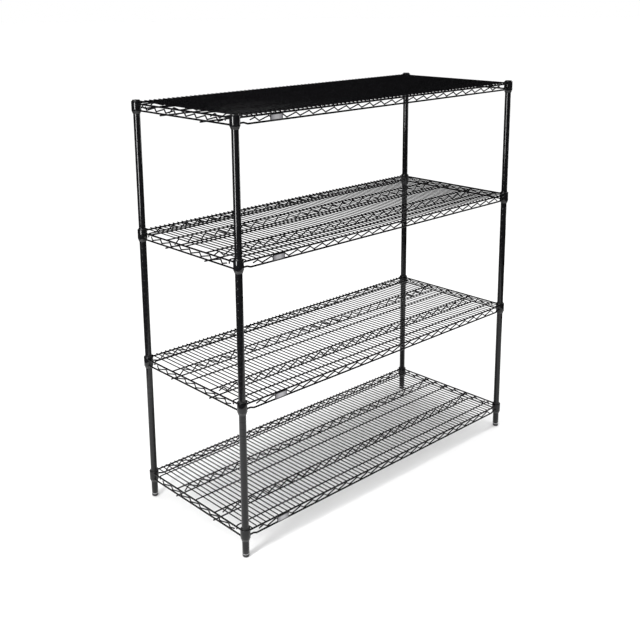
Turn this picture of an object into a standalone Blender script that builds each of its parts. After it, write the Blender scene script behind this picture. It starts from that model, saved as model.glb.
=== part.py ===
"""Wire shelving rack: four grooved posts, four welded wire shelves on split tapered sleeves.

Metres, +Z up. The origin is on the floor under the rack's centre, the front is at -Y.
Runs alone in Blender 4.5: blender --background --python part.py
"""
import math

import bmesh
import bpy
from mathutils import Matrix, Vector

INCH = 0.0254

# Fits
TOUCH = 0.0003          # gap between pieces that rest on or in each other
WELD = 0.0004           # depth that a welded wire runs into the next one

# Overall sizes, over the collars
SHELF_LENGTH = 60 * INCH
SHELF_DEPTH = 24 * INCH

# Posts: grooved tubes. The grooves are one pitch apart, and a shelf hangs on the one that it names.
POST_RADIUS = 0.0127
POST_WALL = 0.0012
GROOVE_PITCH = INCH
GROOVE_DEPTH = 0.0008
GROOVE_WIDTH = 0.0030
POST_END = 0.0200       # how far a post rises over its last groove
SHELF_GROOVES = (3, 22, 42, 61)
ROUND_SIDES = 12

# Post ends: a levelling foot on a stud, a threaded insert in the tube, and a domed cap
FOOT_INSET = 0.0002     # a foot's radius is this much less than the post's
FOOT_HEIGHT = 0.0115
STUD_RADIUS = 0.0040
STUD_LENGTH = 0.0245
INSERT_FLANGE = 0.0020
INSERT_LENGTH = 0.0250
CAP_DOME = 0.0045
CAP_STEM = 0.0140
CAP_WALL = 0.0015

# Split sleeve: a conical skirt below a ledge, then a taper that wedges in the collar. Walls are over the post.
SLEEVE_HEIGHT = 0.0500
SKIRT_HEIGHT = 0.0097
SKIRT_FOOT_WALL = 0.0012
SKIRT_WALL = 0.0043
TAPER_FOOT_WALL = 0.0028
TAPER_TOP_WALL = 0.0015
RIDGE_HEIGHT = 0.0260   # the inner ridge that sits in a post's groove

# Shelf: heights are measured from the sleeve's lower end
COLLAR_WALL = 0.0053    # from the post's surface to the collar's
COLLAR_HEIGHT = 0.0360
ROD_RADIUS = 0.0030     # the rods round the shelf's edge
INNER_ROD_RADIUS = 0.0028
SINGLE_ROD_RADIUS = 0.0026
ZIGZAG_RADIUS = 0.0020
DECK_WIRE_RADIUS = 0.0021
FINE_SIDES = 3          # the zigzags and deck wires have three sides, the rods four
TRUSS_OUTSET = 0.0080   # how far the edge rods run outside the posts' centre lines
LOW_ROD = 0.0138
HIGH_ROD = 0.0373
JOGGLE_RISE = 0.0055    # the long low rods step up to reach the collars
JOGGLE_START = 0.0320
JOGGLE_END = 0.0460
ROD_SINK = 0.0031       # how far inside the collar's radius the rods end, in its wall
INNER_TRUSS_Y = 0.1170
SINGLE_ROD_Y = 0.2410
INNER_OVERHANG = 0.0060 # how far the inner trusses' low rods stick out under the end trusses
DECK_PITCH = 0.0206

# Zigzag wires: a steep leg, then a long one. They start with a free end at mid height.
LONG_PERIOD = 0.0605
LONG_STEEP = 0.0180
END_PERIOD = 0.0595
END_STEEP = 0.0080
ZIGZAG_START = 0.0560
ZIGZAG_END_GAP = 0.0030
WELD_EVERY = 12         # bends from one welded bend to the next

# Blank badge on the front truss
BADGE_START = 0.1400    # from the left post's centre
BADGE_WIDTH = 0.0550
BADGE_HEIGHT = 0.0210
BADGE_THICKNESS = 0.0025

# Sizes and places that follow from the ones above
FOOT_RADIUS = POST_RADIUS - FOOT_INSET
SKIRT_FOOT_RADIUS = POST_RADIUS + SKIRT_FOOT_WALL
SKIRT_RADIUS = POST_RADIUS + SKIRT_WALL
TAPER_FOOT_RADIUS = POST_RADIUS + TAPER_FOOT_WALL
TAPER_TOP_RADIUS = POST_RADIUS + TAPER_TOP_WALL
COLLAR_RADIUS = POST_RADIUS + COLLAR_WALL
ROD_REACH = COLLAR_RADIUS - ROD_SINK
POST_X = SHELF_LENGTH / 2 - COLLAR_RADIUS
POST_Y = SHELF_DEPTH / 2 - COLLAR_RADIUS
TRUSS_X = POST_X + TRUSS_OUTSET
TRUSS_Y = POST_Y + TRUSS_OUTSET
POST_BOTTOM = FOOT_HEIGHT + TOUCH + INSERT_FLANGE + TOUCH
POST_LENGTH = SHELF_GROOVES[-1] * GROOVE_PITCH + POST_END
TUBE_BORE = POST_RADIUS - POST_WALL
COLLAR_BOTTOM = SKIRT_HEIGHT + TOUCH
CORNERS = {
    "front_left": (-POST_X, -POST_Y),
    "front_right": (POST_X, -POST_Y),
    "rear_left": (-POST_X, POST_Y),
    "rear_right": (POST_X, POST_Y),
}


def equal_area_radius(radius, sides):
    """Corner radius of the regular section whose area is that of a round wire."""
    return radius * math.sqrt(2 * math.pi / (sides * math.sin(2 * math.pi / sides)))


def half_width(radius, sides=4):
    """Half the width, in the path's plane, of the section that stands for a round wire."""
    return equal_area_radius(radius, sides) * math.sin(math.pi / sides)


def flat_depth(radius, sides=4):
    """Distance from such a wire's centre to its flat outer side."""
    return equal_area_radius(radius, sides) * math.cos(math.pi / sides)


def groove_height(number):
    """Height of a post's groove over the floor."""
    return POST_BOTTOM + number * GROOVE_PITCH


def shelf_base(number):
    """Height of the lower end of the sleeves under a shelf."""
    return groove_height(SHELF_GROOVES[number]) - RIDGE_HEIGHT


def taper_radius(height):
    """Outer radius of the sleeve's taper at a height over the sleeve's lower end."""
    share = (height - SKIRT_HEIGHT) / (SLEEVE_HEIGHT - SKIRT_HEIGHT)
    return TAPER_FOOT_RADIUS + share * (TAPER_TOP_RADIUS - TAPER_FOOT_RADIUS)


def inner_low_rod():
    """Height of the inner trusses' low rods, which are welded under the end trusses' low rods."""
    return LOW_ROD - half_width(ROD_RADIUS) - half_width(INNER_ROD_RADIUS) + WELD


# Materials and objects

def finish(name, colour, roughness, metallic):
    """A plain surface finish."""
    material = bpy.data.materials.new(name)
    material.use_nodes = True
    shader = material.node_tree.nodes["Principled BSDF"]
    shader.inputs["Base Color"].default_value = (*colour, 1.0)
    shader.inputs["Roughness"].default_value = roughness
    shader.inputs["Metallic"].default_value = metallic
    return material


def to_mesh(shape, name):
    """Turns a bmesh into a mesh with its faces pointing out."""
    bmesh.ops.recalc_face_normals(shape, faces=shape.faces)
    mesh = bpy.data.meshes.new(name)
    shape.to_mesh(mesh)
    shape.free()
    return mesh


def place(name, mesh, material, at=(0, 0, 0), turn=0.0, parent=None):
    """Adds one named piece. Its place is given under its parent's."""
    piece = bpy.data.objects.new(name, mesh)
    if not mesh.materials:
        mesh.materials.append(material)
    piece.location = at
    piece.rotation_euler = (0, 0, turn)
    piece.parent = parent
    bpy.context.scene.collection.objects.link(piece)
    return piece


def soften(mesh, angle=40.0):
    """Smooth shading on round faces, with creases kept."""
    mesh.shade_smooth()
    mesh.set_sharp_from_angle(angle=math.radians(angle))
    return mesh


# Turned pieces

def turned(name, profile, closed=True):
    """A full turn of a profile of (radius, height) points about the Z axis."""
    shape = bmesh.new()
    ring = [shape.verts.new((radius, 0, height)) for radius, height in profile]
    pairs = list(zip(ring, ring[1:]))
    if closed:
        pairs.append((ring[-1], ring[0]))
    edges = [shape.edges.new(pair) for pair in pairs]
    bmesh.ops.spin(shape, geom=ring + edges, cent=(0, 0, 0), axis=(0, 0, 1), angle=2 * math.pi,
                   steps=ROUND_SIDES, use_merge=True)
    bmesh.ops.remove_doubles(shape, verts=shape.verts, dist=1e-6)
    return soften(to_mesh(shape, name))


def post_mesh():
    """A tube with the grooves that hold the shelves. Height 0 is its lower end."""
    outside = [(POST_RADIUS, 0)]
    for number in SHELF_GROOVES:
        height = number * GROOVE_PITCH
        outside += [
            (POST_RADIUS, height - GROOVE_WIDTH / 2),
            (POST_RADIUS - GROOVE_DEPTH, height),
            (POST_RADIUS, height + GROOVE_WIDTH / 2),
        ]
    outside.append((POST_RADIUS, POST_LENGTH))
    return turned("post", outside + [(TUBE_BORE, POST_LENGTH), (TUBE_BORE, 0)])


def cap_mesh():
    """A domed cap with a hollow stem in the tube. Height 0 is the post's upper end."""
    stem = TUBE_BORE - TOUCH
    bore = stem - CAP_WALL
    edge = CAP_DOME * 0.3
    return turned("cap", [
        (0, TOUCH + CAP_DOME),
        (POST_RADIUS * 0.55, TOUCH + CAP_DOME * 0.93),
        (POST_RADIUS * 0.87, TOUCH + CAP_DOME * 0.7),
        (POST_RADIUS, TOUCH + edge),
        (POST_RADIUS, TOUCH),
        (stem, TOUCH),
        (stem, -CAP_STEM),
        (bore, -CAP_STEM),
        (bore, TOUCH),
        (0, TOUCH + edge),
    ], closed=False)


def insert_mesh():
    """A flanged plug with a bore for the foot's stud. Height 0 is the post's lower end."""
    plug = TUBE_BORE - TOUCH
    bore = STUD_RADIUS + TOUCH
    flange = -TOUCH - INSERT_FLANGE
    return turned("insert", [
        (bore, flange),
        (POST_RADIUS, flange),
        (POST_RADIUS, -TOUCH),
        (plug, -TOUCH),
        (plug, INSERT_LENGTH),
        (bore, INSERT_LENGTH),
    ])


def foot_mesh():
    """A round levelling foot with its stud. Height 0 is the floor."""
    return turned("foot", [
        (0, 0),
        (FOOT_RADIUS * 0.64, 0),
        (FOOT_RADIUS * 0.88, FOOT_HEIGHT * 0.12),
        (FOOT_RADIUS, FOOT_HEIGHT * 0.42),
        (FOOT_RADIUS, FOOT_HEIGHT * 0.9),
        (FOOT_RADIUS * 0.95, FOOT_HEIGHT),
        (STUD_RADIUS, FOOT_HEIGHT),
        (STUD_RADIUS, FOOT_HEIGHT + STUD_LENGTH),
        (0, FOOT_HEIGHT + STUD_LENGTH),
    ], closed=False)


def sleeve_mesh():
    """The rear half of a split sleeve, its seam at Y = 0 and half a gap away from it."""
    bore = POST_RADIUS + TOUCH
    ridge = bore - GROOVE_DEPTH
    profile = [
        (SKIRT_FOOT_RADIUS, 0),
        (SKIRT_RADIUS, SKIRT_HEIGHT),
        (TAPER_FOOT_RADIUS, SKIRT_HEIGHT),
        (TAPER_TOP_RADIUS, SLEEVE_HEIGHT),
        (bore, SLEEVE_HEIGHT),
        (bore, RIDGE_HEIGHT + GROOVE_WIDTH / 2),
        (ridge, RIDGE_HEIGHT),
        (bore, RIDGE_HEIGHT - GROOVE_WIDTH / 2),
        (bore, 0),
    ]
    shape = bmesh.new()
    section = shape.faces.new([shape.verts.new((radius, TOUCH / 2, height)) for radius, height in profile])
    geometry = [section, *section.verts, *section.edges]
    bmesh.ops.spin(shape, geom=geometry, cent=(0, TOUCH / 2, 0), axis=(0, 0, 1), angle=math.pi,
                   steps=ROUND_SIDES // 2)
    bmesh.ops.remove_doubles(shape, verts=shape.verts, dist=1e-6)
    return soften(to_mesh(shape, "sleeve_half"))


# Wires

def add_wire(shape, points, across, radius, sides=4):
    """Adds a closed wire along a path in a plane with the normal across, a flat side facing against it."""
    across = Vector(across)
    points = [Vector(point) for point in points]
    corner = equal_area_radius(radius, sides)
    angles = [math.pi * (2 * side + 1) / sides - math.pi / 2 for side in range(sides)]
    legs = [(end - start).normalized() for start, end in zip(points, points[1:])]
    rings = []
    for index, point in enumerate(points):
        before = legs[max(index - 1, 0)]
        after = legs[min(index, len(legs) - 1)]
        sideways = across.cross((before + after).normalized())
        stretch = 1 / sideways.dot(across.cross(before))
        rings.append([
            shape.verts.new(point + sideways * (stretch * corner * math.cos(angle))
                            + across * (corner * math.sin(angle)))
            for angle in angles
        ])
    for ring, following in zip(rings, rings[1:]):
        for side in range(sides):
            other = (side + 1) % sides
            shape.faces.new([ring[side], ring[other], following[other], following[side]])
    shape.faces.new(rings[0])
    shape.faces.new(rings[-1])


def bend_reach(steep, long_leg, rise):
    """Height of a zigzag bend's outer corner over the bend's centre line."""
    up = Vector((steep, rise)).normalized()
    down = Vector((long_leg, -rise)).normalized()
    along = (up + down).normalized()
    outward = Vector((-along.y, along.x))
    square = Vector((-up.y, up.x))
    return half_width(ZIGZAG_RADIUS, FINE_SIDES) * outward.y / outward.dot(square)


def zigzag_path(length, floor, roof, period, steep, first_high):
    """Distances from the first post's centre and heights of a zigzag's ends and bends."""
    long_leg = period - steep
    reach = bend_reach(steep, long_leg, roof - floor - 2 * half_width(ZIGZAG_RADIUS, FINE_SIDES))
    along = ZIGZAG_START
    path = [(along, (floor + roof) / 2)]
    along += long_leg / 2
    high = first_high
    steep_next = True
    while along < length - COLLAR_RADIUS - ZIGZAG_RADIUS - ZIGZAG_END_GAP:
        welded = len(path) % WELD_EVERY in (1, 2)
        inset = reach - WELD if welded else reach + TOUCH
        path.append((along, roof - inset if high else floor + inset))
        along += steep if steep_next else long_leg
        steep_next = not steep_next
        high = not high
    return path


def long_rods():
    """Front and rear edge rods, inner truss rods and the single rods near the front and rear."""
    shape = bmesh.new()
    reach = POST_X - ROD_REACH
    step = [
        (reach, LOW_ROD + JOGGLE_RISE),
        (POST_X - JOGGLE_START, LOW_ROD + JOGGLE_RISE),
        (POST_X - JOGGLE_END, LOW_ROD),
    ]
    low_path = [(-x, z) for x, z in step] + list(reversed(step))
    for side in (-1, 1):
        y = side * TRUSS_Y
        add_wire(shape, [(-reach, y, HIGH_ROD), (reach, y, HIGH_ROD)], (0, 1, 0), ROD_RADIUS)
        add_wire(shape, [(x, y, z) for x, z in low_path], (0, 1, 0), ROD_RADIUS)
        inner = side * INNER_TRUSS_Y
        for height, end in ((inner_low_rod(), TRUSS_X + INNER_OVERHANG), (HIGH_ROD, TRUSS_X)):
            add_wire(shape, [(-end, inner, height), (end, inner, height)], (0, 1, 0), INNER_ROD_RADIUS)
        single = side * SINGLE_ROD_Y
        add_wire(shape, [(-TRUSS_X, single, HIGH_ROD), (TRUSS_X, single, HIGH_ROD)], (0, 1, 0),
                 SINGLE_ROD_RADIUS)
    return shape


def end_rods():
    """The rods of the left and right end trusses."""
    shape = bmesh.new()
    reach = POST_Y - ROD_REACH
    for side in (-1, 1):
        for height in (LOW_ROD, HIGH_ROD):
            x = side * TRUSS_X
            add_wire(shape, [(x, -reach, height), (x, reach, height)], (1, 0, 0), ROD_RADIUS)
    return shape


def zigzags():
    """The zigzag wires of all six trusses. The rear and right ones are the others turned round."""
    shape = bmesh.new()
    floor = LOW_ROD + half_width(ROD_RADIUS)
    roof = HIGH_ROD - half_width(ROD_RADIUS)
    inner_floor = inner_low_rod() + half_width(INNER_ROD_RADIUS)
    inner_roof = HIGH_ROD - half_width(INNER_ROD_RADIUS)
    front = zigzag_path(2 * POST_X, floor, roof, LONG_PERIOD, LONG_STEEP, True)
    inner = zigzag_path(2 * POST_X, inner_floor, inner_roof, LONG_PERIOD, LONG_STEEP, True)
    left = zigzag_path(2 * POST_Y, floor, roof, END_PERIOD, END_STEEP, False)
    for sign in (1, -1):
        for y, path in ((TRUSS_Y, front), (INNER_TRUSS_Y, inner)):
            add_wire(shape, [(sign * (s - POST_X), -sign * y, z) for s, z in path], (0, sign, 0),
                     ZIGZAG_RADIUS, FINE_SIDES)
        add_wire(shape, [(-sign * TRUSS_X, sign * (s - POST_Y), z) for s, z in left], (sign, 0, 0),
                 ZIGZAG_RADIUS, FINE_SIDES)
    return shape


def collars():
    """The four corner collars, bored to the sleeves' taper."""
    top = COLLAR_BOTTOM + COLLAR_HEIGHT
    clearance = TOUCH * 1.5
    profile = [
        (COLLAR_RADIUS, COLLAR_BOTTOM),
        (COLLAR_RADIUS, top),
        (taper_radius(top) + clearance, top),
        (taper_radius(COLLAR_BOTTOM) + clearance, COLLAR_BOTTOM),
    ]
    ring = turned("collar", profile)
    shape = bmesh.new()
    for x, y in CORNERS.values():
        one = bmesh.new()
        one.from_mesh(ring)
        bmesh.ops.translate(one, verts=one.verts, vec=(x, y, 0))
        copy = to_mesh(one, "collar_copy")
        shape.from_mesh(copy)
        bpy.data.meshes.remove(copy)
    bpy.data.meshes.remove(ring)
    return shape


def welded(name, shapes):
    """One mesh from overlapping groups of wires, joined by Boolean unions."""
    pieces = []
    for number, shape in enumerate(shapes):
        piece = bpy.data.objects.new(f"{name}_group_{number}", to_mesh(shape, f"{name}_group_{number}"))
        bpy.context.scene.collection.objects.link(piece)
        pieces.append(piece)
    base = pieces[0]
    for piece in pieces[1:]:
        union = base.modifiers.new(piece.name, "BOOLEAN")
        union.operation = "UNION"
        union.solver = "EXACT"
        union.object = piece
    view = bpy.context.evaluated_depsgraph_get()
    mesh = bpy.data.meshes.new_from_object(base.evaluated_get(view))
    mesh.name = name
    for piece in pieces:
        group = piece.data
        bpy.data.objects.remove(piece)
        bpy.data.meshes.remove(group)
    return mesh


def deck_mesh():
    """The cross wires of a deck, flat sides up, welded to the middle rod under them."""
    lift = HIGH_ROD + half_width(ROD_RADIUS) + TOUCH
    wire_height = lift + equal_area_radius(DECK_WIRE_RADIUS, FINE_SIDES)
    rod_height = lift + 2 * WELD - half_width(SINGLE_ROD_RADIUS)
    reach = TRUSS_Y + half_width(ROD_RADIUS)
    rod_end = TRUSS_X - half_width(ROD_RADIUS) - TOUCH
    count = int((POST_X - COLLAR_RADIUS - DECK_WIRE_RADIUS) / DECK_PITCH)
    wires = bmesh.new()
    for number in range(-count, count + 1):
        x = number * DECK_PITCH
        add_wire(wires, [(x, -reach, wire_height), (x, reach, wire_height)], (0, 0, -1), DECK_WIRE_RADIUS,
                 FINE_SIDES)
    rod = bmesh.new()
    add_wire(rod, [(-rod_end, 0, rod_height), (rod_end, 0, rod_height)], (0, 1, 0), SINGLE_ROD_RADIUS)
    return welded("deck", [rod, wires])


def badge_mesh():
    """A blank plate in front of the truss, with a step that sits between its rods."""
    rod_face = TRUSS_Y + half_width(ROD_RADIUS) + TOUCH
    step_face = TRUSS_Y + flat_depth(ZIGZAG_RADIUS, FINE_SIDES) + TOUCH
    front = rod_face + BADGE_THICKNESS
    middle = (LOW_ROD + HIGH_ROD) / 2
    step_half = (HIGH_ROD - LOW_ROD) / 2 - half_width(ROD_RADIUS) - TOUCH
    plate_half = BADGE_HEIGHT / 2
    outline = [
        (-front, middle - plate_half),
        (-rod_face, middle - plate_half),
        (-rod_face, middle - step_half),
        (-step_face, middle - step_half),
        (-step_face, middle + step_half),
        (-rod_face, middle + step_half),
        (-rod_face, middle + plate_half),
        (-front, middle + plate_half),
    ]
    left = BADGE_START - POST_X
    shape = bmesh.new()
    face = shape.faces.new([shape.verts.new((left, y, z)) for y, z in outline])
    side = bmesh.ops.extrude_face_region(shape, geom=[face])
    moved = [item for item in side["geom"] if isinstance(item, bmesh.types.BMVert)]
    bmesh.ops.translate(shape, verts=moved, vec=(BADGE_WIDTH, 0, 0))
    return to_mesh(shape, "badge")


def build():
    """Makes the whole rack."""
    paint = finish("black_paint", (0.018, 0.018, 0.020), 0.25, 0.0)
    plastic = finish("sleeve_plastic", (0.012, 0.012, 0.013), 0.45, 0.0)
    zinc = finish("zinc", (0.70, 0.70, 0.72), 0.30, 1.0)
    foot_finish = finish("foot_black", (0.020, 0.020, 0.022), 0.35, 0.0)
    badge_grey = finish("badge_grey", (0.16, 0.16, 0.17), 0.40, 0.0)

    post, cap, insert, foot = post_mesh(), cap_mesh(), insert_mesh(), foot_mesh()
    sleeve = sleeve_mesh()
    frame = welded("frame", [collars(), long_rods(), end_rods(), zigzags()])
    deck, badge = deck_mesh(), badge_mesh()

    for corner, (x, y) in CORNERS.items():
        place(f"post_{corner}", post, paint, (x, y, POST_BOTTOM))
        place(f"post_cap_{corner}", cap, plastic, (x, y, POST_BOTTOM + POST_LENGTH))
        place(f"post_insert_{corner}", insert, zinc, (x, y, POST_BOTTOM))
        place(f"levelling_foot_{corner}", foot, foot_finish, (x, y, 0))
    for number in range(len(SHELF_GROOVES)):
        base = shelf_base(number)
        label = f"shelf_{number + 1}"
        for corner, (x, y) in CORNERS.items():
            place(f"{label}_sleeve_rear_half_{corner}", sleeve, plastic, (x, y, base))
            place(f"{label}_sleeve_front_half_{corner}", sleeve, plastic, (x, y, base), math.pi)
        lift = bpy.data.objects.new(f"{label}_lift", None)
        lift.location = (0, 0, base)
        bpy.context.scene.collection.objects.link(lift)
        place(f"{label}_frame", frame, paint, parent=lift)
        place(f"{label}_deck", deck, paint, parent=lift)
        place(f"{label}_badge", badge, badge_grey, parent=lift)


for old in list(bpy.data.objects):
    bpy.data.objects.remove(old)
build()
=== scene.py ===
"""Wire shelving rack: round wires, grooved posts and surface finishes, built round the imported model.

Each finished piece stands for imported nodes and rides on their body. Run as a script, it builds
all pieces, the stage and the camera.
"""
import math

import bmesh
import bpy
from bpy.props import FloatProperty, FloatVectorProperty, IntProperty, PointerProperty
from mathutils import Matrix, Vector


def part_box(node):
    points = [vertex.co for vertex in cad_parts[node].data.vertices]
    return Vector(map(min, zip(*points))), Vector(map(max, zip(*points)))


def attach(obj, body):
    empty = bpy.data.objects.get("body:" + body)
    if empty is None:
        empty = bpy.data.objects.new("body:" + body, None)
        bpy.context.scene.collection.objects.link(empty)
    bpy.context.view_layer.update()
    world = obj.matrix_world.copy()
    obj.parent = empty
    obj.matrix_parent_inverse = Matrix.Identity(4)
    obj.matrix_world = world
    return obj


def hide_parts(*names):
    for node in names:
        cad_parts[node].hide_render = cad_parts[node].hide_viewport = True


bl_info = {
    "name": "Wire Shelving Rack",
    "version": (1, 0, 0),
    "blender": (4, 5, 0),
    "location": "3D View > Sidebar > Rack",
    "description": "Builds the finished pieces of a wire shelving rack and a stage for it",
    "category": "Object",
}

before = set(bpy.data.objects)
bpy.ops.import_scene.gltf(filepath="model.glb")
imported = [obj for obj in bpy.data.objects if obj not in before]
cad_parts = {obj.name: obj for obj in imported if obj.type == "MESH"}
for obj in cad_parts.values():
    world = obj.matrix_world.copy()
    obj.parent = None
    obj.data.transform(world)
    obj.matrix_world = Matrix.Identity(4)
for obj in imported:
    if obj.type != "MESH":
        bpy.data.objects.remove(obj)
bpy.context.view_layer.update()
CORNERS = ("front_left", "front_right", "rear_left", "rear_right")
SHELVES = (1, 2, 3, 4)

GAP = 0.0003            # clearance between pieces that fit in or on each other
SINK = 0.0004           # how deep a welded wire runs into the next one
STUD_RADIUS = 0.0040    # the levelling feet's studs
FIRST_GROOVE = 3        # the groove, counted from a post's lower end, that holds the lowest shelf
FLARE = 1.35            # how much wider an edge rod gets at its weld
TIP = 0.7               # how much narrower a bar gets at a rounded end
ROD_SIDES = 14
INNER_SIDES = 12
FINE_SIDES = 8
ALONG_X = Vector((0, 1, 0))     # across a bar that runs in the XZ plane
ALONG_Y = Vector((1, 0, 0))     # across a bar that runs in the YZ plane


def span(node, axis):
    """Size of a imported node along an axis."""
    low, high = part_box(node)
    return high[axis] - low[axis]


def post_axis(corner):
    """Where a post's centre line meets the floor."""
    low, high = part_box(f"post_{corner}")
    return Vector(((low.x + high.x) / 2, (low.y + high.y) / 2, 0))


def shelf_base(number):
    """The middle of a shelf at the height of its sleeves' lower ends."""
    return Vector((0, 0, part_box(f"shelf_{number}_sleeve_rear_half_front_left")[0].z))


POST_X, POST_Y = post_axis("rear_right").xy
POST_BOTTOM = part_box("post_front_left")[0].z
POST_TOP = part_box("post_front_left")[1].z


class RackSizes(bpy.types.PropertyGroup):
    """Sizes of the finished pieces."""

    post_radius: FloatProperty(
        name="Post Radius", description="Outside radius of a post",
        default=span("post_front_left", 0) / 2, unit="LENGTH")
    post_wall: FloatProperty(
        name="Post Wall", description="Thickness of a post's tube", default=0.0012, unit="LENGTH")
    groove_pitch: FloatProperty(
        name="Groove Pitch", description="Distance between a post's grooves", default=0.0254, unit="LENGTH")
    groove_width: FloatProperty(
        name="Groove Width", description="Height of one groove", default=0.0018, unit="LENGTH")
    groove_depth: FloatProperty(
        name="Groove Depth", description="Depth of one groove", default=0.00025, unit="LENGTH")
    collar_radius: FloatProperty(
        name="Collar Radius", description="Outside radius of a shelf's corner collars",
        default=0.0180, unit="LENGTH")
    collar_bottom: FloatProperty(
        name="Collar Bottom", description="Height of the collars' lower edge over the sleeves' lower end",
        default=0.0100, unit="LENGTH")
    collar_height: FloatProperty(
        name="Collar Height", description="Height of a corner collar", default=0.0360, unit="LENGTH")
    rod_radius: FloatProperty(
        name="Edge Rod Radius", description="Radius of the rods round a shelf", default=0.0033, unit="LENGTH")
    inner_rod_radius: FloatProperty(
        name="Inner Rod Radius", description="Radius of the inner trusses' rods",
        default=0.0028, unit="LENGTH")
    single_rod_radius: FloatProperty(
        name="Single Rod Radius", description="Radius of the single rods under the deck",
        default=0.0026, unit="LENGTH")
    zigzag_radius: FloatProperty(
        name="Zigzag Radius", description="Radius of the zigzag wires", default=0.0025, unit="LENGTH")
    deck_wire_radius: FloatProperty(
        name="Deck Wire Radius", description="Radius of the deck's cross wires",
        default=0.0022, unit="LENGTH")
    low_rod: FloatProperty(
        name="Low Rod Height", description="Height of the edge trusses' low rods over the sleeves' lower end",
        default=0.0138, unit="LENGTH")
    high_rod: FloatProperty(
        name="High Rod Height", description="Height of the high rods over the sleeves' lower end",
        default=0.0373, unit="LENGTH")
    truss_outset: FloatProperty(
        name="Truss Outset", description="Distance of the edge rods outside the posts' centre lines",
        default=0.0080, unit="LENGTH")
    inner_truss: FloatProperty(
        name="Inner Truss Offset", description="Distance of an inner truss from the shelf's middle",
        default=0.1170, unit="LENGTH")
    single_rod: FloatProperty(
        name="Single Rod Offset", description="Distance of the outer single rods from the shelf's middle",
        default=0.2410, unit="LENGTH")
    deck_wires: IntProperty(
        name="Deck Wires", description="Number of cross wires on one deck", default=71, min=1)
    deck_pitch: FloatProperty(
        name="Deck Wire Pitch", description="Distance between cross wires", default=0.0206, unit="LENGTH")
    joggle: FloatProperty(
        name="Joggle", description="How far the long low rods step up beside the collars",
        default=0.0055, unit="LENGTH")
    bend_radius: FloatProperty(
        name="Bend Radius", description="Radius on the centre line of a zigzag's bends",
        default=0.0036, unit="LENGTH")


class RackColours(bpy.types.PropertyGroup):
    """Colours of the finished pieces."""

    coat: FloatVectorProperty(
        name="Powder Coat", description="Colour of the coated steel", subtype="COLOR",
        size=3, min=0, max=1, default=(0.0045, 0.0045, 0.005))
    plastic: FloatVectorProperty(
        name="Moulded Plastic", description="Colour of the sleeves and caps", subtype="COLOR",
        size=3, min=0, max=1, default=(0.006, 0.006, 0.0065))
    zinc: FloatVectorProperty(
        name="Zinc", description="Colour of the plated inserts", subtype="COLOR",
        size=3, min=0, max=1, default=(0.72, 0.72, 0.74))
    foot: FloatVectorProperty(
        name="Foot", description="Colour of the levelling feet", subtype="COLOR",
        size=3, min=0, max=1, default=(0.012, 0.012, 0.013))
    badge: FloatVectorProperty(
        name="Badge", description="Colour of the badges' face", subtype="COLOR",
        size=3, min=0, max=1, default=(0.17, 0.165, 0.18))
    floor: FloatVectorProperty(
        name="Floor", description="Colour of the studio floor", subtype="COLOR",
        size=3, min=0, max=1, default=(0.86, 0.86, 0.86))


# Shading

class Value:
    """A shader value that can be used in sums."""

    def __init__(self, finish, socket):
        self.finish = finish
        self.socket = socket

    def sum(self, operation, first, second):
        return self.finish.add("ShaderNodeMath", {"operation": operation}, {0: first, 1: second})

    def __add__(self, other):
        return self.sum("ADD", self, other)

    def __radd__(self, other):
        return self.sum("ADD", other, self)

    def __sub__(self, other):
        return self.sum("SUBTRACT", self, other)

    def __rsub__(self, other):
        return self.sum("SUBTRACT", other, self)

    def __mul__(self, other):
        return self.sum("MULTIPLY", self, other)

    def __rmul__(self, other):
        return self.sum("MULTIPLY", other, self)


class Finish:
    """One material. Its nodes are added by name, with their settings and the values of their sockets."""

    def __init__(self, name):
        self.material = bpy.data.materials.new(name)
        self.material.use_nodes = True
        self.nodes = self.material.node_tree.nodes
        self.links = self.material.node_tree.links
        self.surface = self.nodes["Principled BSDF"]

    def set(self, node, sockets):
        for key, value in sockets.items():
            if isinstance(value, Value):
                self.links.new(value.socket, node.inputs[key])
            else:
                node.inputs[key].default_value = value

    def add(self, kind, settings, sockets, output=0):
        node = self.nodes.new(kind)
        for key, setting in settings.items():
            if key == "stops":
                for stop, (position, shade) in zip(node.color_ramp.elements, setting):
                    stop.position = position
                    stop.color = (shade, shade, shade, 1)
            else:
                setattr(node, key, setting)
        self.set(node, sockets)
        return Value(self, node.outputs[output])

    def noise(self, vector, scale, detail=2.0):
        return self.add("ShaderNodeTexNoise", {}, {"Vector": vector, "Scale": scale, "Detail": detail}, "Fac")

    def contrast(self, value, low, high):
        return self.add("ShaderNodeValToRGB", {"stops": ((low, 0.0), (high, 1.0))}, {"Fac": value})

    def blend(self, factor, first, second):
        sockets = {0: factor, 6: (*first, 1), 7: (*second, 1)}
        return self.add("ShaderNodeMix", {"data_type": "RGBA"}, sockets, 2)

    def bump(self, height, strength, distance):
        return self.add("ShaderNodeBump", {}, {"Height": height, "Strength": strength, "Distance": distance})


def lighter(colour, amount):
    """A colour with light mixed in."""
    return tuple(part + (1 - part) * amount for part in colour)


def powder_coat(colour):
    """Glossy black coat with a fine orange peel, slow changes in gloss and a little dust."""
    finish = Finish("Black powder coat")
    place = finish.add("ShaderNodeTexCoord", {}, {}, "Object")
    peel = finish.noise(place, 750, 3)
    gloss = finish.noise(place, 9, 3)
    dust = finish.contrast(finish.noise(place, 130, 6), 0.56, 0.80)
    finish.set(finish.surface, {
        "Base Color": finish.blend(dust * 0.4, colour, lighter(colour, 0.02)),
        "Roughness": 0.07 + gloss * 0.08 + dust * 0.08,
        "Normal": finish.bump(peel, 0.08, 0.0002),
        "IOR": 1.38,
    })
    return finish.material


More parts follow.
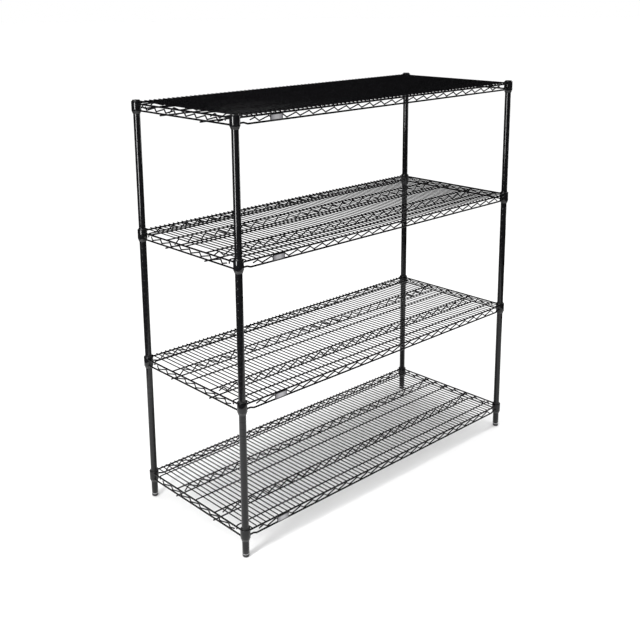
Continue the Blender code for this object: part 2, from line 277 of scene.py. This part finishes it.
def moulded_plastic(name, colour, roughness):
    """Injection moulded black plastic with a fine spark texture and slight flow marks along the piece."""
    finish = Finish(name)
    place = finish.add("ShaderNodeTexCoord", {}, {}, "Object")
    along = finish.add("ShaderNodeMapping", {}, {"Vector": place, "Scale": (1, 1, 0.15)})
    spark = finish.noise(place, 2200, 2)
    flow = finish.noise(along, 160, 3)
    finish.set(finish.surface, {
        "Base Color": finish.blend(flow, colour, lighter(colour, 0.012)),
        "Roughness": roughness + flow * 0.10 + spark * 0.06,
        "Normal": finish.bump(spark, 0.30, 0.0001),
        "IOR": 1.46,
    })
    return finish.material


def plated_zinc(colour):
    """Bright zinc with turned rings and faint clouding."""
    finish = Finish("Bright zinc")
    place = finish.add("ShaderNodeTexCoord", {}, {}, "Object")
    around = finish.add("ShaderNodeMapping", {}, {"Vector": place, "Scale": (0.05, 0.05, 1)})
    rings = finish.noise(around, 5200, 2)
    cloud = finish.noise(place, 260, 4)
    finish.set(finish.surface, {
        "Base Color": finish.blend(cloud, colour, lighter(colour, 0.35)),
        "Roughness": 0.20 + rings * 0.14 + cloud * 0.10,
        "Normal": finish.bump(rings, 0.20, 0.0001),
        "Metallic": 1.0,
    })
    return finish.material


def badge_face(colour, centre, width):
    """Satin grey face with fine brushing along the badge, and a painted sheen that makes it lighter towards
    its middle.
    """
    finish = Finish("Badge face")
    place = finish.add("ShaderNodeTexCoord", {}, {}, "Object")
    along = finish.add("ShaderNodeMapping", {}, {"Vector": place, "Scale": (0.04, 1, 1)})
    brush = finish.noise(along, 2600, 3)
    cloud = finish.noise(place, 110, 3)
    x = finish.add("ShaderNodeSeparateXYZ", {}, {0: place}, "X")
    offset = finish.add("ShaderNodeMath", {"operation": "ABSOLUTE"}, {0: x - centre})
    # Painted sheen: the face's colour is lightened towards its middle as a painted highlight, with the
    # brushing and clouding running through it.
    middle = finish.contrast(1 - offset * (2 / width), 0.15, 0.75)
    painted_sheen = middle * (0.35 + cloud * 0.5 + brush * 0.3)
    finish.set(finish.surface, {
        "Base Color": finish.blend(painted_sheen, colour, lighter(colour, 0.30)),
        "Roughness": 0.30 + brush * 0.15,
        "Normal": finish.bump(brush, 0.15, 0.0001),
        "Metallic": 0.1,
    })
    return finish.material


def studio_floor(colour):
    """Matt pale paper with a hint of tone."""
    finish = Finish("Studio floor")
    place = finish.add("ShaderNodeTexCoord", {}, {}, "Object")
    tone = finish.noise(place, 1.3, 2)
    finish.set(finish.surface, {
        "Base Color": finish.blend(tone, colour, lighter(colour, 0.12)),
        "Roughness": 0.80 + tone * 0.1,
    })
    return finish.material


# Modelling

def add_piece(name, mesh, materials, body, nodes, place=(0, 0, 0)):
    """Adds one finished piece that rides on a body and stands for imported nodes."""
    mesh = mesh.copy()
    mesh.name = name
    mesh.transform(Matrix.Translation(place))
    for material in materials:
        mesh.materials.append(material)
    piece = bpy.data.objects.new(name, mesh)
    bpy.context.scene.collection.objects.link(piece)
    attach(piece, body)
    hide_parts(*nodes)
    return piece


def to_mesh(shape, sharp=35.0):
    """Turns a bmesh into a mesh with its faces pointing out and its round faces smooth."""
    bmesh.ops.remove_doubles(shape, verts=shape.verts, dist=1e-6)
    bmesh.ops.recalc_face_normals(shape, faces=shape.faces)
    mesh = bpy.data.meshes.new("piece")
    shape.to_mesh(mesh)
    shape.free()
    mesh.shade_smooth()
    mesh.set_sharp_from_angle(angle=math.radians(sharp))
    return mesh


def turned(profile, steps=48, closed=True):
    """A full turn of a profile of (radius, height) points about the Z axis."""
    shape = bmesh.new()
    ring = [shape.verts.new((radius, 0, height)) for radius, height in profile]
    pairs = list(zip(ring, ring[1:]))
    if closed:
        pairs.append((ring[-1], ring[0]))
    edges = [shape.edges.new(pair) for pair in pairs]
    bmesh.ops.spin(shape, geom=ring + edges, cent=(0, 0, 0), axis=(0, 0, 1), angle=2 * math.pi,
                   steps=steps, use_merge=True)
    return shape


def only(items, kind):
    """The items of one bmesh type."""
    return [item for item in items if isinstance(item, kind)]


def start_bar(shape, at, facing, radius, sides):
    """A capped circle that faces along a bar. Returns its face."""
    turn = facing.to_track_quat("Z", "X").to_matrix().to_4x4()
    made = bmesh.ops.create_circle(shape, cap_ends=True, segments=sides, radius=radius,
                                   matrix=Matrix.Translation(at) @ turn)
    return made["verts"][0].link_faces[0]


def push(shape, tip, move, scale=1.0):
    """Draws a bar's end face out along a line, and scales it. Returns the new end face."""
    made = bmesh.ops.extrude_face_region(shape, geom=[tip])
    corners = only(made["geom"], bmesh.types.BMVert)
    bmesh.ops.translate(shape, verts=corners, vec=move)
    tip = only(made["geom"], bmesh.types.BMFace)[0]
    if scale != 1.0:
        centre = tip.calc_center_median()
        bmesh.ops.scale(shape, verts=corners, vec=(scale,) * 3, space=Matrix.Translation(-centre))
    return tip


def swing(shape, tip, centre, axis, angle, steps):
    """Draws a bar's end face round a bend. Returns the new end face."""
    made = bmesh.ops.spin(shape, geom=[tip, *tip.edges, *tip.verts], cent=centre, axis=axis, angle=angle,
                          steps=steps)
    return only(made["geom_last"], bmesh.types.BMFace)[0]


def bar(shape, points, radius, sides, across=ALONG_X, bend=0.0, steps=4, end=TIP):
    """A round bar along a path in a plane with the normal across. Its ends are end times as wide."""
    points = [Vector(point) for point in points]
    legs = [end - start for start, end in zip(points, points[1:])]
    lip = radius * 0.35
    first = legs[0].normalized()
    tip = start_bar(shape, points[0], first, radius * end, sides)
    tip = push(shape, tip, first * lip, 1 / end)
    used = lip
    for leg, after in zip(legs, legs[1:]):
        direction = leg.normalized()
        turn = math.atan2(direction.cross(after).dot(across), direction.dot(after))
        cut = bend * math.tan(abs(turn) / 2)
        tip = push(shape, tip, direction * (leg.length - used - cut))
        inward = across.cross(direction) * math.copysign(bend, turn)
        tip = swing(shape, tip, tip.calc_center_median() + inward, across, turn, steps)
        used = cut
    last = legs[-1].normalized()
    tip = push(shape, tip, last * (legs[-1].length - used - lip))
    push(shape, tip, last * lip, end)


def zigzag_path(length, period, steep, start, low, high, first_high):
    """Distances and heights of a zigzag wire's ends and bends: a steep leg, then a long one."""
    path = [(start, (low + high) / 2)]
    along = start + (period - steep) / 2
    leg = steep
    up = first_high
    stop = length - 0.023
    while along < stop:
        path.append((along, high if up else low))
        along += leg
        leg = period - leg
        up = not up
    return path


class RackOperator:
    """What every operator of the rack shares."""

    bl_options = {"REGISTER", "UNDO"}

    @property
    def sizes(self):
        return bpy.context.scene.rack_sizes

    @property
    def colours(self):
        return bpy.context.scene.rack_colours


class RACK_OT_posts(RackOperator, bpy.types.Operator):
    """Grooved tube posts"""

    bl_idname = "rack.posts"
    bl_label = "Posts"

    def execute(self, context):
        sizes = self.sizes
        radius, half, depth = sizes.post_radius, sizes.groove_width / 2, sizes.groove_depth
        length = POST_TOP - POST_BOTTOM
        lip = sizes.post_wall * 0.3
        outside = [(radius - lip, 0), (radius, lip)]
        for number in range(1, int(length / sizes.groove_pitch)):
            height = number * sizes.groove_pitch
            outside += [
                (radius, height - half - lip),
                (radius, height - half),
                (radius - depth, height),
                (radius, height + half),
                (radius, height + half + lip),
            ]
        bore = radius - sizes.post_wall
        outside += [(radius, length - lip), (radius - lip, length), (bore, length), (bore, 0)]
        mesh = to_mesh(turned(outside, 40), 50)
        coat = powder_coat(self.colours.coat)
        for corner in CORNERS:
            place = post_axis(corner) + Vector((0, 0, POST_BOTTOM))
            add_piece(f"post_tube_{corner}", mesh, [coat], "uprights", [f"post_{corner}"],
                      place)
        return {"FINISHED"}


class RACK_OT_caps(RackOperator, bpy.types.Operator):
    """Domed caps in the posts' upper ends"""

    bl_idname = "rack.caps"
    bl_label = "Post Caps"

    def execute(self, context):
        radius = self.sizes.post_radius
        low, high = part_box("post_cap_front_left")
        dome = high.z - POST_TOP
        stem = radius - self.sizes.post_wall - GAP
        rise = dome - GAP
        arc = [
            (radius * math.sin(turn), GAP + rise * (0.30 + 0.70 * math.cos(turn)))
            for turn in (math.radians(angle) for angle in range(0, 91, 10))
        ]
        profile = arc + [(radius, 2 * GAP), (radius - GAP, GAP), (stem, GAP)]
        for rib in range(3):
            height = -0.004 * (rib + 1)
            profile += [(stem - 0.0006, height + 0.0022), (stem - 0.0006, height + 0.0006), (stem, height)]
        profile += [(stem - 0.001, low.z - POST_TOP), (stem - 0.0022, low.z - POST_TOP), (stem - 0.0022, 0),
                    (0, 0)]
        mesh = to_mesh(turned(profile, 48, closed=False))
        plastic = moulded_plastic("Cap plastic", self.colours.plastic, 0.22)
        for corner in CORNERS:
            place = post_axis(corner) + Vector((0, 0, POST_TOP))
            add_piece(f"cap_dome_{corner}", mesh, [plastic], "uprights", [f"post_cap_{corner}"],
                      place)
        return {"FINISHED"}


class RACK_OT_inserts(RackOperator, bpy.types.Operator):
    """Plated inserts in the posts' lower ends"""

    bl_idname = "rack.inserts"
    bl_label = "Threaded Inserts"

    def execute(self, context):
        low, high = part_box("post_insert_front_left")
        radius = self.sizes.post_radius
        plug = radius - self.sizes.post_wall - GAP
        bore = STUD_RADIUS + GAP
        bottom, top = low.z - POST_BOTTOM, high.z - POST_BOTTOM
        flange_top = -GAP
        lip = 0.0004
        profile = [
            (bore + lip, bottom),
            (radius - lip, bottom),
            (radius, bottom + lip),
            (radius, flange_top - lip),
            (radius - lip, flange_top),
            (plug, flange_top),
        ]
        for rib in range(6):
            height = 0.002 + rib * 0.0036
            profile += [(plug, height), (plug - 0.0005, height + 0.0006), (plug - 0.0005, height + 0.0014)]
        profile += [(plug, top - lip), (plug - lip, top), (bore + lip, top), (bore, top - lip),
                    (bore, bottom + lip)]
        mesh = to_mesh(turned(profile, 48))
        zinc = plated_zinc(self.colours.zinc)
        for corner in CORNERS:
            place = post_axis(corner) + Vector((0, 0, POST_BOTTOM))
            add_piece(f"insert_ring_{corner}", mesh, [zinc], "uprights", [f"post_insert_{corner}"],
                      place)
        return {"FINISHED"}


class RACK_OT_feet(RackOperator, bpy.types.Operator):
    """Levelling feet with threaded studs"""

    bl_idname = "rack.feet"
    bl_label = "Levelling Feet"

    def execute(self, context):
        low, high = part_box("levelling_foot_front_left")
        radius = (high.x - low.x) / 2
        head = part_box("post_insert_front_left")[0].z - GAP
        stud = STUD_RADIUS
        profile = [
            (0, 0),
            (radius * 0.60, 0),
            (radius * 0.74, head * 0.03),
            (radius * 0.86, head * 0.11),
            (radius * 0.94, head * 0.23),
            (radius * 0.985, head * 0.37),
            (radius, head * 0.50),
            (radius, head * 0.92),
            (radius - 0.0004, head * 0.97),
            (radius - 0.0010, head),
            (stud, head),
        ]
        pitch = 0.00125
        turns = int((high.z - head - 0.001) / pitch)
        for thread in range(turns):
            height = head + 0.0008 + thread * pitch
            profile += [(stud, height), (stud - 0.0006, height + pitch / 2)]
        profile += [(stud, high.z - 0.0006), (stud - 0.0006, high.z), (0, high.z)]
        mesh = to_mesh(turned(profile, 48, closed=False), 28)
        paint = moulded_plastic("Foot coat", self.colours.foot, 0.26)
        for corner in CORNERS:
            add_piece(f"foot_glide_{corner}", mesh, [paint], f"foot_{corner}", [f"levelling_foot_{corner}"],
                      post_axis(corner))
        return {"FINISHED"}


class RACK_OT_sleeves(RackOperator, bpy.types.Operator):
    """Split tapered sleeves that carry the shelves"""

    bl_idname = "rack.sleeves"
    bl_label = "Split Sleeves"

    def half(self):
        """The rear half of a sleeve, with its skirt, ledge, taper and inner ridge."""
        sizes = self.sizes
        half_gap = GAP / 2
        bore = sizes.post_radius + GAP
        skirt_top = sizes.collar_bottom - GAP
        top = span("shelf_1_sleeve_rear_half_front_left", 2)
        ridge = POST_BOTTOM + FIRST_GROOVE * sizes.groove_pitch - shelf_base(1).z
        half_groove = sizes.groove_width / 2
        profile = [
            (0.0137, 0),
            (0.0140, 0.0003),
            (0.0149, 0.0034),
            (0.0165, skirt_top - 0.0016),
            (0.0169, skirt_top - 0.0006),
            (0.0167, skirt_top),
            (0.0155, skirt_top),
            (0.0142, top - 0.0005),
            (0.0138, top),
            (bore + 0.0002, top),
            (bore, top - 0.0003),
            (bore, ridge + half_groove),
            (bore - sizes.groove_depth * 0.7, ridge + half_groove * 0.5),
            (bore - sizes.groove_depth * 0.7, ridge - half_groove * 0.5),
            (bore, ridge - half_groove),
            (bore, 0.0003),
            (bore + 0.0002, 0),
        ]
        shape = bmesh.new()
        corners = [shape.verts.new((radius, half_gap, height)) for radius, height in profile]
        face = shape.faces.new(corners)
        bmesh.ops.spin(shape, geom=[face, *face.edges, *face.verts], cent=(0, half_gap, 0),
                       axis=(0, 0, 1), angle=math.pi, steps=24)
        return shape

    def execute(self, context):
        rear = to_mesh(self.half())
        front = rear.copy()
        front.transform(Matrix.Rotation(math.pi, 4, "Z"))
        plastic = moulded_plastic("Sleeve plastic", self.colours.plastic, 0.30)
        for number in SHELVES:
            for corner in CORNERS:
                place = post_axis(corner) + shelf_base(number)
                for side, mesh in (("rear", rear), ("front", front)):
                    add_piece(f"sleeve_{number}_{side}_{corner}", mesh, [plastic], "uprights",
                              [f"shelf_{number}_sleeve_{side}_half_{corner}"], place)
        return {"FINISHED"}


class RACK_OT_frames(RackOperator, bpy.types.Operator):
    """Welded shelf frames: collars, rods, zigzag wires and inner trusses"""

    bl_idname = "rack.frames"
    bl_label = "Shelf Frames"

    def collar(self):
        """One corner collar with rounded edges and a tapered bore."""
        sizes = self.sizes
        radius, bottom = sizes.collar_radius, sizes.collar_bottom
        top = bottom + sizes.collar_height
        lip = 0.0007
        return to_mesh(turned([
            (radius - lip, bottom),
            (radius - lip * 0.3, bottom + lip * 0.3),
            (radius, bottom + lip),
            (radius, top - lip),
            (radius - lip * 0.3, top - lip * 0.3),
            (radius - lip, top),
            (0.0151, top),
            (0.0148, top - 0.0004),
            (0.0159, bottom + 0.0004),
            (0.0162, bottom),
        ]))

    def rods(self, shape):
        """All straight and joggled rods."""
        sizes = self.sizes
        low, high, rod = sizes.low_rod, sizes.high_rod, sizes.rod_radius
        truss_x, truss_y = POST_X + sizes.truss_outset, POST_Y + sizes.truss_outset
        reach = math.sqrt(sizes.collar_radius ** 2 - sizes.truss_outset ** 2) - 0.0012
        end_x, end_y = POST_X - reach, POST_Y - reach
        step = [(end_x, low + sizes.joggle), (POST_X - 0.030, low + sizes.joggle), (POST_X - 0.046, low)]
        joggled = [(-x, z) for x, z in step] + step[::-1]
        inner_low = low - rod - sizes.inner_rod_radius + SINK
        for side in (-1, 1):
            y = side * truss_y
            bar(shape, [(-end_x, y, high), (end_x, y, high)], rod, ROD_SIDES, end=FLARE)
            bar(shape, [(x, y, z) for x, z in joggled], rod, ROD_SIDES, bend=0.012, end=FLARE)
            for height in (low, high):
                x = side * truss_x
                bar(shape, [(x, -end_y, height), (x, end_y, height)], rod, ROD_SIDES, ALONG_Y, end=FLARE)
            y = side * sizes.inner_truss
            radius = sizes.inner_rod_radius
            tail = truss_x + 0.006
            bar(shape, [(-tail, y, inner_low), (tail, y, inner_low)], radius, INNER_SIDES)
            bar(shape, [(-truss_x, y, high + 0.0002), (truss_x, y, high + 0.0002)], radius, INNER_SIDES)
            y = side * sizes.single_rod
            hook = truss_x - rod - sizes.single_rod_radius + SINK
            height = high + rod - sizes.single_rod_radius
            hook_end = high - 0.014
            bar(shape, [(-hook, y, hook_end), (-hook, y, height), (hook, y, height), (hook, y, hook_end)],
                sizes.single_rod_radius, INNER_SIDES, bend=0.0055)

    def zigzags(self, shape):
        """The zigzag wires of the four edge trusses and the two inner ones."""
        sizes = self.sizes
        wire = sizes.zigzag_radius
        low = sizes.low_rod + sizes.rod_radius + wire - SINK
        high = sizes.high_rod - sizes.rod_radius - wire + SINK
        inner_low = sizes.low_rod - sizes.rod_radius + wire
        truss_x, truss_y = POST_X + sizes.truss_outset, POST_Y + sizes.truss_outset
        front = zigzag_path(2 * POST_X, 0.0605, 0.0180, 0.0560, low, high, True)
        left = zigzag_path(2 * POST_Y, 0.0595, 0.0080, 0.0520, low, high, False)
        inner = zigzag_path(2 * POST_X, 0.0605, 0.0200, 0.0300, inner_low, high, True)
        for sign in (1, -1):
            paths = (
                ([(sign * (s - POST_X), -sign * truss_y, z) for s, z in front], ALONG_X),
                ([(-sign * truss_x, sign * (s - POST_Y), z) for s, z in left], ALONG_Y),
                ([(sign * (s - POST_X), -sign * sizes.inner_truss, z) for s, z in inner], ALONG_X),
            )
            for path, across in paths:
                bar(shape, path, wire, FINE_SIDES, across, sizes.bend_radius, 3)

    def execute(self, context):
        shape = bmesh.new()
        collar = self.collar()
        for corner in CORNERS:
            one = collar.copy()
            one.transform(Matrix.Translation(post_axis(corner)))
            shape.from_mesh(one)
            bpy.data.meshes.remove(one)
        self.rods(shape)
        self.zigzags(shape)
        mesh = to_mesh(shape, 50)
        coat = powder_coat(self.colours.coat)
        for number in SHELVES:
            add_piece(f"frame_wires_{number}", mesh, [coat], f"shelf_{number}", [f"shelf_{number}_frame"],
                      shelf_base(number))
        return {"FINISHED"}


class RACK_OT_decks(RackOperator, bpy.types.Operator):
    """Decks of cross wires on a middle rod"""

    bl_idname = "rack.decks"
    bl_label = "Decks"

    def execute(self, context):
        sizes = self.sizes
        wire, rod = sizes.deck_wire_radius, sizes.single_rod_radius
        top = sizes.high_rod + sizes.rod_radius
        reach = POST_Y + sizes.truss_outset + sizes.rod_radius - GAP
        shape = bmesh.new()
        middle = (sizes.deck_wires - 1) / 2
        for number in range(sizes.deck_wires):
            x = (number - middle) * sizes.deck_pitch
            if abs(x) > POST_X - 0.010:
                continue
            bar(shape, [(x, -reach, top + wire), (x, reach, top + wire)], wire, FINE_SIDES, ALONG_Y)
        end = POST_X + sizes.truss_outset - sizes.rod_radius
        height = top - rod + GAP
        bar(shape, [(-end, 0, height), (end, 0, height)], rod, INNER_SIDES)
        mesh = to_mesh(shape, 50)
        coat = powder_coat(self.colours.coat)
        for number in SHELVES:
            add_piece(f"deck_wires_{number}", mesh, [coat], f"shelf_{number}", [f"shelf_{number}_deck"],
                      shelf_base(number))
        return {"FINISHED"}


class RACK_OT_badges(RackOperator, bpy.types.Operator):
    """Blank badges on the front trusses"""

    bl_idname = "rack.badges"
    bl_label = "Badges"

    def execute(self, context):
        low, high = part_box("shelf_1_badge")
        base = shelf_base(1)
        low, high = low - base, high - base
        centre = (low + high) / 2
        width = high.x - low.x
        plate_depth = 0.0025
        shape = bmesh.new()
        bmesh.ops.create_cube(shape, size=1, matrix=Matrix.Translation(
            (centre.x, low.y + plate_depth / 2, centre.z)) @ Matrix.Diagonal(
                (width, plate_depth, high.z - low.z, 1)))
        corners = [edge for edge in shape.edges if abs(edge.verts[0].co.y - edge.verts[1].co.y) > 1e-4]
        bmesh.ops.bevel(shape, geom=corners, offset=0.0035, segments=5, affect="EDGES", profile=0.5,
                        material=-1)
        front = min(shape.faces, key=lambda face: face.calc_center_median().y)
        bmesh.ops.bevel(shape, geom=list(front.edges), offset=0.0006, segments=2, affect="EDGES", profile=0.5,
                        material=-1)
        front = min(shape.faces, key=lambda face: face.calc_center_median().y)
        bmesh.ops.inset_region(shape, faces=[front], thickness=0.0016)
        bmesh.ops.inset_region(shape, faces=[front], thickness=0.0003, depth=-0.0004)
        front.material_index = 1
        back = bmesh.new()
        step = (high.z - low.z) * 0.82
        bmesh.ops.create_cube(back, size=1, matrix=Matrix.Translation(
            (centre.x, (low.y + plate_depth + high.y) / 2 - 0.0003, centre.z)) @ Matrix.Diagonal(
                (width * 0.96, high.y - low.y - plate_depth + 0.0006, step, 1)))
        step_mesh = to_mesh(back)
        shape.from_mesh(step_mesh)
        mesh = to_mesh(shape, 40)
        rim = moulded_plastic("Badge rim", self.colours.plastic, 0.30)
        face = badge_face(self.colours.badge, centre.x, width)
        for number in SHELVES:
            add_piece(f"badge_plate_{number}", mesh, [rim, face], f"shelf_{number}",
                      [f"shelf_{number}_badge"], shelf_base(number))
        return {"FINISHED"}


class RACK_OT_stage(RackOperator, bpy.types.Operator):
    """Pale floor, soft studio lights and the camera"""

    bl_idname = "rack.stage"
    bl_label = "Stage"

    def disc(self, name, radius, height, material, reflected):
        """A round sheet of floor."""
        shape = bmesh.new()
        bmesh.ops.create_circle(shape, cap_ends=True, segments=96, radius=radius,
                                matrix=Matrix.Translation((0, 0, height)))
        mesh = to_mesh(shape)
        mesh.materials.append(material)
        sheet = bpy.data.objects.new(name, mesh)
        sheet.visible_glossy = reflected
        bpy.context.scene.collection.objects.link(sheet)

    def softbox(self, name, place, aim, size, power):
        """An area light that points at a place."""
        light = bpy.data.lights.new(name, "AREA")
        light.shape = "RECTANGLE"
        light.size, light.size_y = size
        light.energy = power
        lamp = bpy.data.objects.new(name, light)
        lamp.location = place
        lamp.rotation_euler = (Vector(aim) - Vector(place)).to_track_quat("-Z", "Y").to_euler()
        bpy.context.scene.collection.objects.link(lamp)

    def execute(self, context):
        scene = bpy.context.scene
        paper = studio_floor(self.colours.floor)
        self.disc("studio_floor", 60, -0.0005, paper, False)
        self.disc("floor_paper", 2.0, 0, paper, True)

        world = bpy.data.worlds.new("Studio")
        world.use_nodes = True
        world.node_tree.nodes["Background"].inputs["Color"].default_value = (1, 1, 1, 1)
        world.node_tree.nodes["Background"].inputs["Strength"].default_value = 1.0
        world.cycles_visibility.glossy = False
        scene.world = world
        scene.view_settings.view_transform = "Standard"

        overhead = bpy.data.lights.new("overhead", "SUN")
        overhead.angle = math.radians(24)
        overhead.energy = 1.0
        lamp = bpy.data.objects.new("overhead", overhead)
        lamp.location = (0, 0, 4)
        lamp.visible_glossy = False
        scene.collection.objects.link(lamp)
        self.softbox("left_strip", (-3.2, -0.6, 1.30), (-0.7, -0.6, 1.30), (0.6, 1.5), 90)
        self.softbox("right_strip", (3.4, -0.6, 1.15), (0.7, -0.6, 1.15), (0.5, 1.7), 25)

        lens = bpy.data.cameras.new("Camera")
        lens.lens = 52.72
        lens.sensor_width = 36
        lens.shift_x = 0.0259
        lens.shift_y = -0.1875
        lens.clip_end = 500
        camera = bpy.data.objects.new("Camera", lens)
        heading, tilt, roll = math.radians(42.642), math.radians(12.666), math.radians(-0.569)
        camera.matrix_world = (
            Matrix.Translation((-2.6090, -2.6333, 1.9739))
            @ Matrix.Rotation(-heading, 4, "Z")
            @ Matrix.Rotation(math.pi / 2 - tilt, 4, "X")
            @ Matrix.Rotation(roll, 4, "Z")
        )
        scene.collection.objects.link(camera)
        scene.camera = camera
        return {"FINISHED"}


OPERATORS = (
    RACK_OT_posts,
    RACK_OT_caps,
    RACK_OT_inserts,
    RACK_OT_feet,
    RACK_OT_sleeves,
    RACK_OT_frames,
    RACK_OT_decks,
    RACK_OT_badges,
    RACK_OT_stage,
)


class RACK_PT_panel(bpy.types.Panel):
    """Lists the rack's pieces, sizes and colours"""

    bl_idname = "RACK_PT_panel"
    bl_label = "Wire Shelving Rack"
    bl_space_type = "VIEW_3D"
    bl_region_type = "UI"
    bl_category = "Rack"

    def draw(self, context):
        for operator in OPERATORS:
            self.layout.operator(operator.bl_idname)
        for group in (context.scene.rack_sizes, context.scene.rack_colours):
            box = self.layout.box()
            for name in group.__annotations__:
                box.prop(group, name)


CLASSES = (RackSizes, RackColours, *OPERATORS, RACK_PT_panel)


def register():
    for each in CLASSES:
        bpy.utils.register_class(each)
    bpy.types.Scene.rack_sizes = PointerProperty(type=RackSizes)
    bpy.types.Scene.rack_colours = PointerProperty(type=RackColours)


def unregister():
    del bpy.types.Scene.rack_colours
    del bpy.types.Scene.rack_sizes
    for each in reversed(CLASSES):
        bpy.utils.unregister_class(each)


def main():
    """Builds every piece and the stage."""
    register()
    for operator in OPERATORS:
        group, name = operator.bl_idname.split(".")
        getattr(getattr(bpy.ops, group), name)()


if __name__ == "__main__":
    main()
